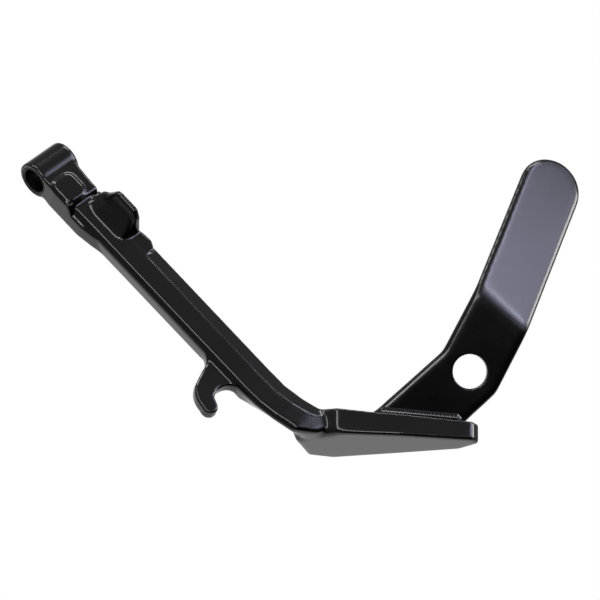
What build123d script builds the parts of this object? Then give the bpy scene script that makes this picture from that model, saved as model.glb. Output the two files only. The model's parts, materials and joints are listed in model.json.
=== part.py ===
from build123d import *
from math import cos, radians, sin, tan
import os

# A motorcycle side stand: a forged leg with a pressed-in pivot bush and a plate lever welded to its foot.
# Millimetres. The stand is deployed: +X is outboard, +Y is rearward and +Z is up.
# The origin is on the pivot bore's axis, where the leg's centre line crosses it.

# Attitude of the leg
PIVOT_TILT = 40.0  # the pivot axis rises this many degrees going outboard
LEG_RAKE = 13.2  # the leg swings forward this many degrees from straight down its slope
GROUND_Z = -155.0

# Pivot eye and bush
EYE_RADIUS = 10.7
EYE_NEAR = -13.75  # the eye's inboard end, along the pivot axis
EYE_FAR = 12.1
EYE_ROUND = 1.6
BORE_RADIUS = 7.15
BUSH_WALL = 1.0

# Web: the flat plate between the eye and the shank
WEB_STEP = 26.5  # where its front drops to the shank, beyond the pad
WEB_FRONT = 9.1
WEB_BACK = -5.8
WEB_END = 60.0
WEB_END_NEAR = -9.5
WEB_BULGE = 0.5  # how far its near edge stands out past the eye's end
WEB_SHELF = 4.2  # height of its front beyond the step
WEB_FAR = 8.3
PAD_SIZE = 15.5
PAD_CORNER = 4.0
PAD_RISE = 1.0
PAD_AT = (17.5, -5.4)  # its centre, along the leg and along the pivot axis

# Shank: a drafted bar with two ridges along its front
SHANK_NEAR = -11.7
SHANK_FAR = 11.5
SHANK_FRONT = 7.2
SHANK_BACK = -6.5
PARTING = 3.4  # height of the widest line of the drafted section
SHANK_START = 27.0
SHANK_BEND = 168.0
BUMP_HEIGHT = 9.5  # of the low bump behind the stop lug

# Stop lug
LUG_TOP = 23.5
LUG_OUTER = 9.3
LUG_INNER = -3.9
LUG_CREST = 3.4  # width of its flat crest

# Spring hook
HOOK_THICK = 7.0

# Foot
FOOT_REACH = 240.0  # past the outboard end of the foot
FOOT_HEEL_X = 146.0
FOOT_HEIGHT = 14.5
FOOT_SLOPE = 2.54  # degrees that the top falls going outboard
CROWN_X = 165.0  # inboard of here the top rises more steeply, to its peak over the heel
CROWN_PEAK = (140.0, 16.0)  # in X and above the ground
FOOT_CORNER = 2.5
SOLE_EDGE = 1.0
HEEL_LIFT = 34.0  # degrees that the sole turns up at its front inboard corner

# Foot lever
LEVER_THICK = 6.0
LEVER_LEAN = 21.0  # degrees that the lower plate leans forward
LEVER_HEADING = 13.7  # degrees that its base line turns forward
HOLE_AT = (47.0, 28.0)  # along and up from the base line's origin
FOLD_AT = (49.6, 72.6)  # a point of the fold line, along and up from the base line's origin
FOLD_TURN = 36.5  # degrees from the base line down to the fold line
FOLD_ANGLE = 30.0
FOLD_RADIUS = 20.0
HOLE_RADIUS = 9.525
LEVER_EDGE = 0.8
OUTLINE_CORNER = 9.0
SHEET_SIDE = 60.0  # how far the uncut sheet runs inboard of the fold's origin
SHEET_WIDTH = 160.0
SHEET_ARM = 130.0  # each side of the fold, before the outline is cut

# Welds
WELD_LEG = 4.4  # up the lever's face
WELD_TOE = 3.0  # out along the foot's top
WELD_HOLLOW = 0.35
WELD_START = -1.5
WELD_LENGTH = 46.0

os.makedirs("parts", exist_ok=True)

# Frames of reference ------------------------------------------------------------------------------
tilt = radians(PIVOT_TILT)
rake = radians(LEG_RAKE)
slope = radians(FOOT_SLOPE)
heading = radians(LEVER_HEADING)
ALONG = Vector(sin(tilt) * cos(rake), -sin(rake), -cos(tilt) * cos(rake))
PIVOT_AXIS = Vector(cos(tilt), 0, sin(tilt))
LEG = Plane(origin=(0, 0, 0), x_dir=ALONG, z_dir=ALONG.cross(PIVOT_AXIS))
EYE = Plane(origin=PIVOT_AXIS * EYE_NEAR, x_dir=ALONG, z_dir=PIVOT_AXIS)
GROUND = Plane(origin=(0, 0, GROUND_Z))
FOOT_TOP = Plane(
    origin=(FOOT_HEEL_X, 0, GROUND_Z + FOOT_HEIGHT),
    x_dir=(cos(slope), 0, -sin(slope)),
    z_dir=(sin(slope), 0, cos(slope)),
)


def foot_top_at(x):
    """Height of the foot's top at this X, where the lever stands on it."""
    return GROUND_Z + FOOT_HEIGHT - (x - FOOT_HEEL_X) * tan(slope)


# The turned-up corner of the sole meets the ground along a line
HEEL_FROM = Vector(131.5, -37.0, GROUND_Z)
HEEL_TO = Vector(147.0, -53.5, GROUND_Z)
HEEL_LINE = (HEEL_TO - HEEL_FROM).normalized()
HEEL_EDGE = Plane(origin=HEEL_FROM, x_dir=HEEL_LINE, z_dir=(0, 0, 1))
HEEL_PLANE = Plane(HEEL_EDGE.location * Rotation(-HEEL_LIFT, 0, 0))

# The lever's base line starts on the foot's top, a little behind its front edge
BASE_X = 171.9
BASE_Y = -60.4
BASE_Z = foot_top_at(BASE_X)
BASE_LINE = Vector(cos(heading), -sin(heading), -cos(heading) * tan(slope))
BASE = Plane(origin=(BASE_X, BASE_Y, BASE_Z), x_dir=BASE_LINE, z_dir=FOOT_TOP.z_dir)
LOWER_FACE = Plane(BASE.location * Rotation(90 + LEVER_LEAN, 0, 0))
FOLD = Plane(LOWER_FACE.location * Pos(*FOLD_AT) * Rotation(0, 0, -FOLD_TURN))


def across(distance):
    """Plane across the leg, this far from the pivot: x runs along the pivot axis, y to the front."""
    return Plane(origin=ALONG * distance, x_dir=PIVOT_AXIS, z_dir=ALONG)


def shank_profile(distance, near, far, drop=0.0, heel=1.7):
    """Section of the shank between two side limits, lowered by drop, its near back corner cut by heel."""
    with BuildSketch(across(distance)) as profile:
        with BuildLine():
            Polyline(
                (near + 1.8, SHANK_FRONT - drop),
                (near, PARTING - drop),
                (near + heel, SHANK_BACK - drop),
                (far - 4.0, SHANK_BACK - drop),
                (far, PARTING - drop),
                (far - 9.6, SHANK_FRONT - drop),
                close=True,
            )
        make_face()
    return profile.sketch


def lug_profile(distance, top, outer=LUG_OUTER, inner=LUG_INNER):
    """Section of the stop lug: an upright outer wall, a narrow crest and a concave ramp to the web."""
    root = SHANK_BACK + 2
    crest = outer - LUG_CREST
    with BuildSketch(across(distance)) as profile:
        with BuildLine():
            Line((inner, root), (outer, root))
            Line((outer, root), (outer, top))
            Line((outer, top), (crest, top))
            ThreePointArc(
                (crest, top),
                (inner + 0.6 * (crest - inner), SHANK_FRONT + 0.42 * (top - SHANK_FRONT)),
                (inner, SHANK_FRONT),
            )
            Line((inner, SHANK_FRONT), (inner, root))
        make_face()
    return profile.sketch


# Leg forging --------------------------------------------------------------------------------------
with BuildPart() as leg_forging:
    # Foot: a flat-soled wedge, thinner outboard
    with BuildSketch(GROUND):
        with BuildLine():
            Polyline(
                (139, -49),
                (146.4, -57),
                (180.5, -66.8),
                (220.3, -75.2),
                (226.3, -71.0),
                (219.4, -58.2),
                (191.4, -39.8),
                (160, -19.8),
                (145.4, -18.6),
                (134.6, -31.6),
                (123.5, -43.6),
                close=True,
            )
        make_face()
    extrude(amount=FOOT_HEIGHT + 3)
    with BuildSketch(Plane.XZ):
        with BuildLine():
            Polyline(
                (100, GROUND_Z + FOOT_HEIGHT - 2),
                (CROWN_PEAK[0], GROUND_Z + CROWN_PEAK[1]),
                (CROWN_X, foot_top_at(CROWN_X)),
                (FOOT_REACH, foot_top_at(FOOT_REACH)),
                (FOOT_REACH, GROUND_Z + 40),
                (100, GROUND_Z + 40),
                close=True,
            )
        make_face()
    extrude(amount=100, both=True, mode=Mode.SUBTRACT)
    fillet(leg_forging.edges().filter_by(Axis.Z), radius=FOOT_CORNER)
    split(bisect_by=HEEL_PLANE, keep=Keep.TOP)
    fillet(leg_forging.faces().sort_by(Axis.Z)[0].edges(), radius=SOLE_EDGE)

    # Pivot eye
    with BuildSketch(EYE):
        Circle(EYE_RADIUS)
    extrude(amount=EYE_FAR - EYE_NEAR)
    rims = leg_forging.edges().filter_by(GeomType.CIRCLE).sort_by_distance(PIVOT_AXIS * EYE_FAR)
    fillet(rims[0], radius=EYE_ROUND)

    # Web, flush with the near end of the eye and drawn in along its far edge
    with BuildSketch(LEG.offset(WEB_BACK)):
        with BuildLine():
            Line((0, EYE_FAR - EYE_ROUND), (0, EYE_NEAR))
            Line((0, EYE_NEAR), (EYE_RADIUS, EYE_NEAR))
            Line((EYE_RADIUS, EYE_NEAR), (15, EYE_NEAR - WEB_BULGE))
            Line((15, EYE_NEAR - WEB_BULGE), (38, EYE_NEAR - WEB_BULGE))
            Line((38, EYE_NEAR - WEB_BULGE), (48, EYE_NEAR + 1.2))
            Line((48, EYE_NEAR + 1.2), (WEB_END, WEB_END_NEAR))
            Line((WEB_END, WEB_END_NEAR), (WEB_END, WEB_FAR))
            Line((WEB_END, WEB_FAR), (23.0, WEB_FAR))
            ThreePointArc((23.0, WEB_FAR), (11.0, WEB_FAR + 0.9), (0, EYE_FAR - EYE_ROUND))
        make_face()
    extrude(amount=WEB_FRONT - WEB_BACK)

    # Beyond the raised pad the web's front steps down to the shank
    with BuildSketch(Plane(origin=PIVOT_AXIS * -20, x_dir=ALONG, z_dir=PIVOT_AXIS)):
        with BuildLine():
            Polyline(
                (WEB_STEP, -WEB_FRONT - 1),
                (WEB_STEP, -WEB_FRONT),
                (WEB_STEP + 3.8, -WEB_SHELF),
                (WEB_END + 10, -WEB_SHELF),
                (WEB_END + 10, -WEB_FRONT - 1),
                close=True,
            )
        make_face()
    extrude(amount=40, mode=Mode.SUBTRACT)

    with BuildSketch(LEG.offset(WEB_FRONT - 1)):
        with Locations(PAD_AT):
            RectangleRounded(PAD_SIZE, PAD_SIZE - 1, PAD_CORNER)
    extrude(amount=PAD_RISE + 1)

    # Shank, sweeping outboard as it reaches the foot
    stations = [
        shank_profile(SHANK_START, SHANK_NEAR - 0.5, SHANK_FAR),
        shank_profile(SHANK_BEND, SHANK_NEAR, SHANK_FAR + 0.3),
        shank_profile(180, -11.0, 12.2, 0, 5.4),
        shank_profile(192, -8.8, 14.8, 0.1, 7.6),
        shank_profile(203, -5.4, 19.2, 1.0, 8.6),
        shank_profile(214, -5.0, 30.0, 2.8, 12.0),
    ]
    for start, end in zip(stations, stations[1:]):
        loft([start, end], ruled=True)

    # Stop lug, with the low bump behind it
    lug = [
        lug_profile(30.5, 10.0),
        lug_profile(35, 14.8),
        lug_profile(39.5, 22.6),
        lug_profile(42, LUG_TOP),
        lug_profile(54.5, LUG_TOP),
        lug_profile(58, 18.5),
        lug_profile(60.5, 8.5, 10.0, -2.0),
    ]
    for start, end in zip(lug, lug[1:]):
        loft([start, end], ruled=True)
    with BuildSketch(LEG.offset(SHANK_BACK + 4)):
        with BuildLine():
            Polyline((58, 0), (60, 10.4), (64, 11.4), (69, 11.6), (74, 9.0), (74, 0), close=True)
        make_face()
    extrude(amount=BUMP_HEIGHT)

    # Spring hook, a stubby C that opens towards the foot
    with BuildSketch(LEG.offset(-HOOK_THICK / 2)):
        with BuildLine():
            Line((134, -8), (139, -11.5))
            ThreePointArc((139, -11.5), (143.2, -14.4), (145.6, -19.5))
            Line((145.6, -19.5), (149.8, -28.8))
            ThreePointArc((149.8, -28.8), (154.6, -33.6), (162.5, -35.8))
            ThreePointArc((162.5, -35.8), (169.4, -33.2), (168.6, -28.6))
            ThreePointArc((168.6, -28.6), (165.6, -27.0), (162.6, -26.0))
            ThreePointArc((162.6, -26.0), (160.0, -21.0), (160.6, -16.4))
            ThreePointArc((160.6, -16.4), (162.2, -13.4), (166.0, -11.5))
            Line((166.0, -11.5), (166.0, -8))
            Line((166.0, -8), (134, -8))
        make_face()
    extrude(amount=HOOK_THICK)

    # Everything stops at the ground
    with BuildSketch(GROUND):
        with Locations((FOOT_HEEL_X, -50)):
            Rectangle(200, 120)
    extrude(amount=-40, mode=Mode.SUBTRACT)

    # Seat for the bush
    with BuildSketch(EYE):
        Circle(BORE_RADIUS + BUSH_WALL)
    extrude(amount=EYE_FAR - EYE_NEAR, mode=Mode.SUBTRACT)
leg_forging.part.label = "leg_forging"
export_step(leg_forging.part, "parts/leg_forging.step")

# Pivot bush ---------------------------------------------------------------------------------------
with BuildPart() as pivot_bush:
    with BuildSketch(EYE):
        Circle(BORE_RADIUS + BUSH_WALL)
        Circle(BORE_RADIUS, mode=Mode.SUBTRACT)
    extrude(amount=EYE_FAR - EYE_NEAR)
pivot_bush.part.label = "pivot_bush"
export_step(pivot_bush.part, "parts/pivot_bush.step")

# Foot lever ---------------------------------------------------------------------------------------
fold = radians(FOLD_ANGLE)
HALF_FOLD = Plane(FOLD.location * Rotation(-FOLD_ANGLE / 2, 0, 0))
ARM_ALONG = SHEET_ARM * cos(fold)
ARM_DOWN = SHEET_ARM * sin(fold)
SQUASH = cos(fold / 2)  # lengths up the plate look shorter by this from halfway through the fold
inner_crease = FOLD.from_local_coords((0, -LEVER_THICK * tan(fold / 2), -LEVER_THICK))
with BuildPart() as foot_lever:
    # The bent sheet, wider than the lever
    sheet_end = FOLD.from_local_coords((-SHEET_SIDE, 0, 0))
    with BuildSketch(Plane(origin=sheet_end, x_dir=FOLD.y_dir, z_dir=FOLD.x_dir)):
        with BuildLine():
            Polyline(
                (-SHEET_ARM, 0),
                (0, 0),
                (ARM_ALONG, -ARM_DOWN),
                (ARM_ALONG - LEVER_THICK * sin(fold), -ARM_DOWN - LEVER_THICK * cos(fold)),
                (-LEVER_THICK * tan(fold / 2), -LEVER_THICK),
                (-SHEET_ARM, -LEVER_THICK),
                close=True,
            )
        make_face()
    extrude(amount=SHEET_WIDTH)
    creases = foot_lever.edges().filter_by(Axis(FOLD.origin, FOLD.x_dir)).sort_by_distance(FOLD.origin)
    fillet(creases[0], radius=FOLD_RADIUS)
    creases = foot_lever.edges().filter_by(Axis(FOLD.origin, FOLD.x_dir)).sort_by_distance(inner_crease)
    fillet(creases[0], radius=FOLD_RADIUS - LEVER_THICK)

    # The stamped outline: a dog-leg strap with a round tip
    with BuildSketch(HALF_FOLD.offset(-SHEET_SIDE), mode=Mode.PRIVATE) as outline:
        with BuildLine():
            Line((-4.0, -100 * SQUASH), (-0.2, -86.7 * SQUASH))
            Line((-0.2, -86.7 * SQUASH), (5.6, -38.0 * SQUASH))
            Line((5.6, -38.0 * SQUASH), (-23.1, 78.9 * SQUASH))
            ThreePointArc((-23.1, 78.9 * SQUASH), (-9.4, 101.0 * SQUASH), (12.2, 87.2 * SQUASH))
            Line((12.2, 87.2 * SQUASH), (43.6, -36.0 * SQUASH))
            Line((43.6, -36.0 * SQUASH), (41.4, -57.5 * SQUASH))
            Line((41.4, -57.5 * SQUASH), (41.4, -100 * SQUASH))
            Line((41.4, -100 * SQUASH), (-4.0, -100 * SQUASH))
        make_face()
        fillet(outline.vertices().sort_by(Axis.Y)[2:6], radius=OUTLINE_CORNER)
    extrude(outline.sketch, amount=SHEET_ARM, mode=Mode.INTERSECT)

    # Every edge that does not run with the fold or through the plate is broken
    long_edges = [edge for edge in foot_lever.edges() if edge.length > LEVER_THICK + 0.5]
    rims = [edge for edge in long_edges if abs((edge % 0.5).dot(FOLD.x_dir)) < 0.9]
    fillet(rims, radius=LEVER_EDGE)

    with BuildSketch(LOWER_FACE.offset(-20)):
        with Locations(HOLE_AT):
            Circle(HOLE_RADIUS)
    extrude(amount=40, mode=Mode.SUBTRACT)

    split(bisect_by=FOOT_TOP, keep=Keep.TOP)
foot_lever.part.label = "foot_lever"
export_step(foot_lever.part, "parts/foot_lever.step")

# Welds, one along each side of the lever's base ----------------------------------------------------
lean = radians(90 + LEVER_LEAN)
back_foot = LEVER_THICK / sin(lean)


def weld_profile(start, side):
    """Concave fillet between the foot's top and the lever's face that starts here, on the side given."""
    toe = (start + side * WELD_TOE, 0)
    crown = (start + WELD_LEG * cos(lean), WELD_LEG * sin(lean))
    middle = ((toe[0] + crown[0]) / 2 - side * WELD_HOLLOW, (toe[1] + crown[1]) / 2 - WELD_HOLLOW)
    origin = BASE.from_local_coords((WELD_START, 0, 0))
    with BuildSketch(Plane(origin=origin, x_dir=BASE.y_dir, z_dir=BASE.x_dir)) as profile:
        with BuildLine():
            Line((start, 0), toe)
            ThreePointArc(toe, middle, crown)
            Line(crown, (start, 0))
        make_face()
    return profile.sketch


with BuildPart() as weld_front:
    extrude(weld_profile(0, -1), amount=WELD_LENGTH)
weld_front.part.label = "weld_front"
export_step(weld_front.part, "parts/weld_front.step")

with BuildPart() as weld_rear:
    extrude(weld_profile(back_foot, 1), amount=WELD_LENGTH)
weld_rear.part.label = "weld_rear"
export_step(weld_rear.part, "parts/weld_rear.step")
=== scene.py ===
import json
from math import radians, sin, cos, pi

import bmesh
import bpy
import numpy as np
from mathutils import Matrix, Vector


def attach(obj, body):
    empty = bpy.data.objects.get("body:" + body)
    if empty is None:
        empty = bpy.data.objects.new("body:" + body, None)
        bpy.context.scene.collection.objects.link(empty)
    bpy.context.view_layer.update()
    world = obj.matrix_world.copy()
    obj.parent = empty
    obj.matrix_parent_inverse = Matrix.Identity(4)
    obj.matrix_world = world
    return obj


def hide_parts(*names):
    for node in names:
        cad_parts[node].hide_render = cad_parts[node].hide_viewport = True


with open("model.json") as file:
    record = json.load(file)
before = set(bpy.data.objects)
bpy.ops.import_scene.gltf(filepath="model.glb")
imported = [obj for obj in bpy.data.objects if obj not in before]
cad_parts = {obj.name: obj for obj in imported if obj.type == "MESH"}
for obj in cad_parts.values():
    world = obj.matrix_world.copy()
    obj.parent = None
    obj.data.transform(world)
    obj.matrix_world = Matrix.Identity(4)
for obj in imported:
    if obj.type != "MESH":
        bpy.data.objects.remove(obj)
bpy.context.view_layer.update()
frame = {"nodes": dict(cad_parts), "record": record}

MM = 0.001
scene = bpy.context.scene
scene.view_settings.view_transform = "Standard"

# Directions of the leg, from the record's mounts ----------------------------------------------------
mounts = {m["name"]: m for m in frame["record"]["mounts"]}
ACROSS = -Vector(mounts["pivot_bore"]["axis"]).normalized()  # along the pivot, to its far outboard end
FRONT = Vector(mounts["stop_lug"]["axis"]).normalized()  # out of the leg's front face
ALONG = ACROSS.cross(FRONT)  # down the leg

# Camera -----------------------------------------------------------------------------------------------
VIEW_AZIMUTH, VIEW_ELEVATION = radians(-22), radians(-21)
LENS, FRAME_WIDTH = 1500.0, 0.3312
AIM = Vector((0.137, -0.0275, -0.0676))
to_camera = Vector((
    sin(VIEW_AZIMUTH) * cos(VIEW_ELEVATION),
    -cos(VIEW_AZIMUTH) * cos(VIEW_ELEVATION),
    sin(VIEW_ELEVATION),
))
camera = bpy.data.objects.new("camera", bpy.data.cameras.new("camera"))
camera.data.lens = LENS
camera.data.clip_end = 100
camera.location = AIM + to_camera * (FRAME_WIDTH * LENS / camera.data.sensor_width)
camera.rotation_mode = "QUATERNION"
camera.rotation_quaternion = (-to_camera).to_track_quat("-Z", "Y")
scene.collection.objects.link(camera)
scene.camera = camera


# Node helpers ------------------------------------------------------------------------------------------
def new_tree(owner):
    """Empties the node tree of a material or world and returns it with its output node."""
    owner.use_nodes = True
    tree = owner.node_tree
    tree.nodes.clear()
    kind = "ShaderNodeOutputWorld" if isinstance(owner, bpy.types.World) else "ShaderNodeOutputMaterial"
    return tree, tree.nodes.new(kind)


def add(tree, kind, links=None, **values):
    """Adds a node, sets its properties or input defaults by name, and links its inputs from sockets."""
    node = tree.nodes.new(kind)
    for name, value in values.items():
        if hasattr(node, name):
            setattr(node, name, value)
        else:
            node.inputs[name.replace("_", " ")].default_value = value
    for name, socket in (links or {}).items():
        tree.links.new(socket, node.inputs[name])
    return node


# World and lights ---------------------------------------------------------------------------------
def ramp(tree, socket, start, end, low, high):
    """Smooth step from low to high as a value goes from start to end."""
    node = add(tree, "ShaderNodeMapRange", {"Value": socket}, interpolation_type="SMOOTHSTEP")
    node.inputs["From Min"].default_value = start
    node.inputs["From Max"].default_value = end
    node.inputs["To Min"].default_value = low
    node.inputs["To Max"].default_value = high
    return node.outputs["Result"]


def make_world():
    """White to the camera. In reflections: white behind, dim in front and at the left, dark low in front."""
    world = bpy.data.worlds.new("studio")
    scene.world = world
    tree, out = new_tree(world)
    place = add(tree, "ShaderNodeTexCoord").outputs["Generated"]
    depth = add(tree, "ShaderNodeVectorMath", {0: place}, operation="DOT_PRODUCT")
    depth.inputs[1].default_value = (0.25, 0.93, -0.25)
    height = add(tree, "ShaderNodeSeparateXYZ", {"Vector": place}).outputs["Z"]
    left = add(tree, "ShaderNodeVectorMath", {0: place}, operation="DOT_PRODUCT")
    left.inputs[1].default_value = (-0.87, -0.42, -0.26)
    back = ramp(tree, depth.outputs["Value"], 0.05, 0.6, 0.0, 1.0)
    front = ramp(tree, height, -0.2, 0.35, 0.01, 0.3)
    side = ramp(tree, left.outputs["Value"], 0.5, 0.9, 0.0, 0.22)
    dim = add(tree, "ShaderNodeMath", {0: side, 1: front}, operation="MAXIMUM")
    total = add(tree, "ShaderNodeMath", {0: back, 1: dim.outputs[0]}, operation="MAXIMUM")
    seen = add(tree, "ShaderNodeLightPath").outputs["Is Camera Ray"]
    strength = add(tree, "ShaderNodeMix", {"Factor": seen, "A": total.outputs[0]}, data_type="FLOAT")
    strength.inputs["B"].default_value = 1.0
    glow = add(tree, "ShaderNodeBackground", {"Strength": strength.outputs[0]})
    glow.inputs["Color"].default_value = (1, 1, 1, 1)
    tree.links.new(glow.outputs[0], out.inputs["Surface"])


def make_light(name, direction, distance, size, radiance, along=(1, 0, 0), at=AIM, colour=(1, 1, 1)):
    """A rectangular soft light in this direction from a point, its first side along a vector."""
    light = bpy.data.lights.new(name, "AREA")
    light.shape = "RECTANGLE"
    light.size, light.size_y = size
    light.energy = radiance * pi * size[0] * size[1]
    light.color = colour
    lamp = bpy.data.objects.new(name, light)
    out = Vector(direction).normalized()
    up = out.cross(Vector(along)).normalized()
    turn = Matrix((up.cross(out), up, out)).transposed().to_4x4()
    lamp.matrix_world = Matrix.Translation(at + out * distance) @ turn
    lamp.visible_camera = False
    scene.collection.objects.link(lamp)


make_world()
COOL = (0.74, 0.74, 1.0)
UPPER_PLATE = Vector((0.245, -0.085, -0.02))
SHANK_START = Vector((0.05, -0.02, -0.05))
FOOT = Vector((0.18, -0.06, -0.15))
LIGHTS = [
    # name, direction, distance, (width, height), radiance, options
    ("key", (0.54, -0.73, 0.48), 0.6, (0.3, 0.5), 1.8, {"at": UPPER_PLATE, "colour": COOL}),
    ("key_low", (0.4, -0.86, 0.28), 0.6, (0.34, 0.26), 3.0, {"at": UPPER_PLATE, "colour": COOL}),
    ("key_fade", (0.3, -0.93, 0.08), 0.6, (0.34, 0.09), 1.5, {"at": UPPER_PLATE, "colour": COOL}),
    ("key_fade_low", (0.22, -0.97, -0.05), 0.6, (0.34, 0.08), 0.7, {"at": UPPER_PLATE, "colour": COOL}),
    ("key_edge", (0.33, -0.79, 0.5), 0.6, (0.03, 0.5), 16.0,
     {"at": UPPER_PLATE, "along": (1, 0.35, 0), "colour": COOL}),
    ("right_rim", (0.83, -0.47, 0.26), 1.1, (0.45, 0.4), 10.5, {}),
    ("left_rim", (-0.45, -0.86, 0.22), 1.2, (0.2, 0.9), 7.0, {}),
    ("ridge_strip", (0.14, -0.384, 0.92), 1.23, (0.65, 0.24), 8.5,
     {"at": SHANK_START, "along": (-0.739, 0.374, 0.56)}),
    ("top_left_strip", (-0.49, -0.35, 0.8), 1.2, (0.7, 0.16), 9.0, {"along": (0.3, -0.9, 0.0)}),
    ("low_front", (-0.3, -0.95, 0.0), 1.2, (0.55, 0.16), 7.0, {"at": FOOT}),
]
for name, direction, distance, size, radiance, options in LIGHTS:
    make_light(name, direction, distance, size, radiance, **options)


# Materials -----------------------------------------------------------------------------------------------
def gloss_black(name, roughness, peel, dust):
    """Gloss black coating: orange peel, fine dust specks, uneven gloss and slightly worn edges."""
    paint = bpy.data.materials.new(name)
    tree, out = new_tree(paint)
    place = add(tree, "ShaderNodeTexCoord").outputs["Object"]
    waves = add(tree, "ShaderNodeTexNoise", {"Vector": place}, Scale=420.0, Detail=2.0, Roughness=0.5)
    specks = add(tree, "ShaderNodeTexNoise", {"Vector": place}, Scale=2600.0, Detail=3.0, Roughness=0.6)
    broad = add(tree, "ShaderNodeTexNoise", {"Vector": place}, Scale=38.0, Detail=4.0, Roughness=0.55)
    height = add(
        tree, "ShaderNodeMath", {0: specks.outputs["Fac"], 2: waves.outputs["Fac"]}, operation="MULTIPLY_ADD"
    )
    height.inputs[1].default_value = dust
    bump = add(tree, "ShaderNodeBump", {"Height": height.outputs[0]}, Strength=1.0)
    bump.inputs["Distance"].default_value = peel
    edge = add(tree, "ShaderNodeNewGeometry").outputs["Pointiness"]
    worn = add(tree, "ShaderNodeMapRange", {"Value": edge})
    worn.inputs["From Min"].default_value = 0.515
    worn.inputs["From Max"].default_value = 0.56
    uneven = add(tree, "ShaderNodeMapRange", {"Value": broad.outputs["Fac"]})
    uneven.inputs["From Min"].default_value = 0.3
    uneven.inputs["From Max"].default_value = 0.7
    uneven.inputs["To Min"].default_value = roughness * 0.82
    uneven.inputs["To Max"].default_value = roughness * 1.18
    rough = add(tree, "ShaderNodeMath", {0: worn.outputs[0], 2: uneven.outputs[0]}, operation="MULTIPLY_ADD")
    rough.inputs[1].default_value = 0.06
    colour = add(tree, "ShaderNodeMix", {"Factor": worn.outputs[0]}, data_type="RGBA")
    colour.inputs["A"].default_value = (0.0012, 0.0012, 0.0013, 1)
    colour.inputs["B"].default_value = (0.005, 0.005, 0.0053, 1)
    shader = add(tree, "ShaderNodeBsdfPrincipled", {
        "Normal": bump.outputs[0],
        "Roughness": rough.outputs[0],
        "Base Color": colour.outputs["Result"],
    })
    shader.inputs["IOR"].default_value = 1.5
    tree.links.new(shader.outputs[0], out.inputs["Surface"])
    return paint


def bush_steel():
    """Dark turned steel with a fine noise grain in its tone, roughness and bumps."""
    steel = bpy.data.materials.new("bush_steel")
    tree, out = new_tree(steel)
    place = add(tree, "ShaderNodeTexCoord").outputs["Object"]
    grain = add(tree, "ShaderNodeTexNoise", {"Vector": place}, Scale=900.0, Detail=4.0, Roughness=0.6)
    rough = add(tree, "ShaderNodeMapRange", {"Value": grain.outputs["Fac"]})
    rough.inputs["To Min"].default_value = 0.28
    rough.inputs["To Max"].default_value = 0.5
    bump = add(tree, "ShaderNodeBump", {"Height": grain.outputs["Fac"]}, Strength=0.6)
    bump.inputs["Distance"].default_value = 0.00002
    colour = add(tree, "ShaderNodeValToRGB", {"Fac": grain.outputs["Fac"]})
    colour.color_ramp.elements[0].color = (0.012, 0.012, 0.012, 1)
    colour.color_ramp.elements[1].color = (0.04, 0.039, 0.038, 1)
    shader = add(tree, "ShaderNodeBsdfPrincipled", {
        "Normal": bump.outputs[0],
        "Roughness": rough.outputs[0],
        "Base Color": colour.outputs["Color"],
    }, Metallic=0.85)
    tree.links.new(shader.outputs[0], out.inputs["Surface"])
    return steel


# Pieces ----------------------------------------------------------------------------------------------------
def smooth(points, edges, weight, rounds):
    """Moves each point part of the way to the mean of its neighbours, so many times."""
    a, b = edges[:, 0], edges[:, 1]
    count = np.bincount(a, minlength=len(points)) + np.bincount(b, minlength=len(points))
    for _ in range(rounds):
        mean = np.empty_like(points)
        for axis in range(3):
            total = np.bincount(a, points[b, axis], len(points))
            total += np.bincount(b, points[a, axis], len(points))
            mean[:, axis] = total / count
        points = points + (mean - points) * weight[:, None]
    return points


def skin(node, name, voxel, rounds, soft_spots=(), crisp_spots=()):
    """An even mesh over a CAD node with its edges rounded: more at the soft spots, less at the crisp ones."""
    source = frame["nodes"][node]
    piece = bpy.data.objects.new(name, source.data.copy())
    scene.collection.objects.link(piece)
    remesh = piece.modifiers.new("even", "REMESH")
    remesh.mode = "VOXEL"
    remesh.voxel_size = voxel
    wrap = piece.modifiers.new("flat", "SHRINKWRAP")
    wrap.target = source
    wrap.wrap_method = "NEAREST_SURFACEPOINT"
    bpy.context.view_layer.update()
    mesh = bpy.data.meshes.new_from_object(piece.evaluated_get(bpy.context.evaluated_depsgraph_get()))
    piece.modifiers.clear()
    piece.data = mesh
    mesh.name = name
    points = np.empty(len(mesh.vertices) * 3)
    mesh.vertices.foreach_get("co", points)
    points = points.reshape(-1, 3)
    edges = np.empty(len(mesh.edges) * 2, int)
    mesh.edges.foreach_get("vertices", edges)
    edges = edges.reshape(-1, 2)
    weight = np.full(len(points), 0.5)
    for centre, reach in crisp_spots:
        distance = np.linalg.norm(points - np.array(centre), axis=1)
        weight *= np.clip(4 * (distance / reach - 1), 0.03, 1)
    points = smooth(points, edges, weight, rounds)
    for centre, reach, extra in soft_spots:
        distance = np.linalg.norm(points - np.array(centre), axis=1)
        near = np.clip(1.5 * (1 - distance / reach), 0, 1) * 0.5
        points = smooth(points, edges, near, extra)
    mesh.vertices.foreach_set("co", points.ravel())
    mesh.materials.clear()
    mesh.polygons.foreach_set("use_smooth", np.ones(len(mesh.polygons), bool))
    mesh.update()
    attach(piece, "root")
    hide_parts(node)
    return piece


def leg_point(along, across, front):
    """A point given in millimetres along the leg, along the pivot axis and to the front."""
    return ALONG * (along * MM) + ACROSS * (across * MM) + FRONT * (front * MM)


coat = gloss_black("gloss_black_coat", 0.17, 0.000012, 0.02)
plate_coat = gloss_black("gloss_black_plate", 0.2, 0.00001, 0.3)

leg = skin("leg_forging", "leg_forging_skin", 0.43 * MM, 27, [
    (leg_point(46, 0, 10), 16 * MM, 20),
    (leg_point(150, -18, 0), 22 * MM, 10),
    (leg_point(204, 8, 2), 30 * MM, 40),
    (Vector((0.130, -0.046, -0.153)), 14 * MM, 50),
])
leg.data.materials.append(coat)

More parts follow.
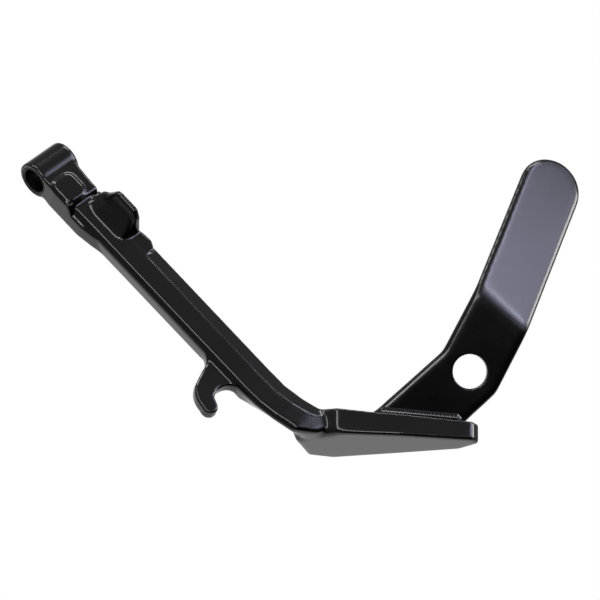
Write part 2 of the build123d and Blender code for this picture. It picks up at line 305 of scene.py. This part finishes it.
hole = Vector(mounts["lever_hole"]["pos_m"])
lever = skin("foot_lever", "foot_lever_skin", 0.5 * MM, 90, crisp_spots=[(hole, 12 * MM)])
lever.data.materials.append(plate_coat)


BEAD_SIDES, BEAD_STATIONS = 11, 300
BEAD_INSET = 0.05 * MM  # at each end of the seam
BEAD_TAPER = 2.5 * MM  # length of each drawn-in end
BEAD_END, BEAD_FULL = 0.45, 0.95  # size at its ends and along it, as a share of the CAD section
BEAD_RIPPLE, BEAD_PITCH = 0.025, 2.1 * MM


def weld_bead(node):
    """A fillet weld on a straight seam: the CAD bead's section, rippled along it and drawn in at its ends."""
    source = frame["nodes"][node]
    points = np.array([source.matrix_world @ corner.co for corner in source.data.vertices])
    seam = np.linalg.svd(points - points.mean(axis=0), full_matrices=False)[2][0]
    along = points @ seam
    start, end = along.min(), along.max()
    section = np.unique(points[along < start + 0.05 * MM].round(8), axis=0)
    section = section - np.outer(section @ seam, seam)

    # The root stands alone; the rest follow the hollow face, from its toe to its crown
    gaps = np.linalg.norm(section[:, None] - section[None], axis=2)
    alone = int(np.argmax(np.sort(gaps, axis=1)[:, 1]))
    root, hollow = section[alone], np.delete(section, alone, axis=0)
    gaps = np.linalg.norm(hollow[:, None] - hollow[None], axis=2)
    first, last = np.unravel_index(np.argmax(gaps), gaps.shape)
    toe, crown = hollow[first], hollow[last]
    chord = (crown - toe) / np.linalg.norm(crown - toe)
    sag = (hollow - toe) - np.outer((hollow - toe) @ chord, chord)
    bend = (toe + crown) / 2 + 2 * sag[np.argmax(np.linalg.norm(sag, axis=1))]
    steps = np.linspace(0, 1, BEAD_SIDES)[:, None]
    face = (1 - steps) ** 2 * toe + 2 * steps * (1 - steps) * bend + steps ** 2 * crown
    profile = np.vstack([root, face]) - root

    verts, faces = [], []
    stations = np.linspace(start + BEAD_INSET, end - BEAD_INSET, BEAD_STATIONS)
    for place in stations:
        from_end = min(place - stations[0], stations[-1] - place)
        size = BEAD_END + (BEAD_FULL - BEAD_END) * sin(min(from_end / BEAD_TAPER, 1) * pi / 2)
        size *= 1 + BEAD_RIPPLE * cos(2 * pi * place / BEAD_PITCH)
        verts += [tuple(corner) for corner in root + profile * size + seam * place]
    n = len(profile)
    for station in range(len(stations) - 1):
        here, there = station * n, (station + 1) * n
        faces += [(here + i, here + (i + 1) % n, there + (i + 1) % n, there + i) for i in range(n)]
    faces += [tuple(reversed(range(n))), tuple(range((len(stations) - 1) * n, len(stations) * n))]
    mesh = bpy.data.meshes.new(node + "_bead")
    mesh.from_pydata(verts, [], faces)
    shape = bmesh.new()
    shape.from_mesh(mesh)
    bmesh.ops.recalc_face_normals(shape, faces=shape.faces)
    shape.to_mesh(mesh)
    shape.free()
    mesh.polygons.foreach_set("use_smooth", np.ones(len(mesh.polygons), bool))
    mesh.set_sharp_from_angle(angle=radians(40))
    bead = bpy.data.objects.new(node + "_bead", mesh)
    scene.collection.objects.link(bead)
    bead.data.materials.append(coat)
    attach(bead, "root")
    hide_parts(node)


for node in ("weld_front", "weld_rear"):
    weld_bead(node)


def lathe(name, axis, profile, sides=96):
    """A closed ring turned about an axis through the origin, from (radius, along) points in metres."""
    side = axis.orthogonal().normalized()
    other = axis.cross(side)
    points, faces = [], []
    for turn in range(sides):
        angle = 2 * pi * turn / sides
        out = side * cos(angle) + other * sin(angle)
        points += [out * radius + axis * along for radius, along in profile]
    n = len(profile)
    for turn in range(sides):
        here, there = turn * n, (turn + 1) % sides * n
        faces += [(here + i, here + (i + 1) % n, there + (i + 1) % n, there + i) for i in range(n)]
    mesh = bpy.data.meshes.new(name)
    mesh.from_pydata(points, [], faces)
    mesh.polygons.foreach_set("use_smooth", np.ones(len(mesh.polygons), bool))
    mesh.set_sharp_from_angle(angle=radians(30))
    ring = bpy.data.objects.new(name, mesh)
    scene.collection.objects.link(ring)
    return ring


BUSH_INSET, BUSH_CHAMFER = 0.25 * MM, 0.45 * MM


def turned_bush():
    """The bush as a turned ring, just short of the eye's ends, its mouths chamfered."""
    node = frame["nodes"]["pivot_bush"]
    points = np.array([node.matrix_world @ corner.co for corner in node.data.vertices])
    along = points @ np.array(ACROSS)
    radii = np.linalg.norm(points - np.outer(along, ACROSS), axis=1)
    near, far = along.min() + BUSH_INSET, along.max() - BUSH_INSET
    inner, outer, chamfer = radii.min(), radii.max(), BUSH_CHAMFER
    ring = lathe("pivot_bush_turned", ACROSS, [
        (inner, near + chamfer),
        (inner + chamfer, near),
        (outer, near),
        (outer, far),
        (inner + chamfer, far),
        (inner, far - chamfer),
    ])
    ring.data.materials.append(bush_steel())
    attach(ring, "root")
    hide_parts("pivot_bush")


turned_bush()
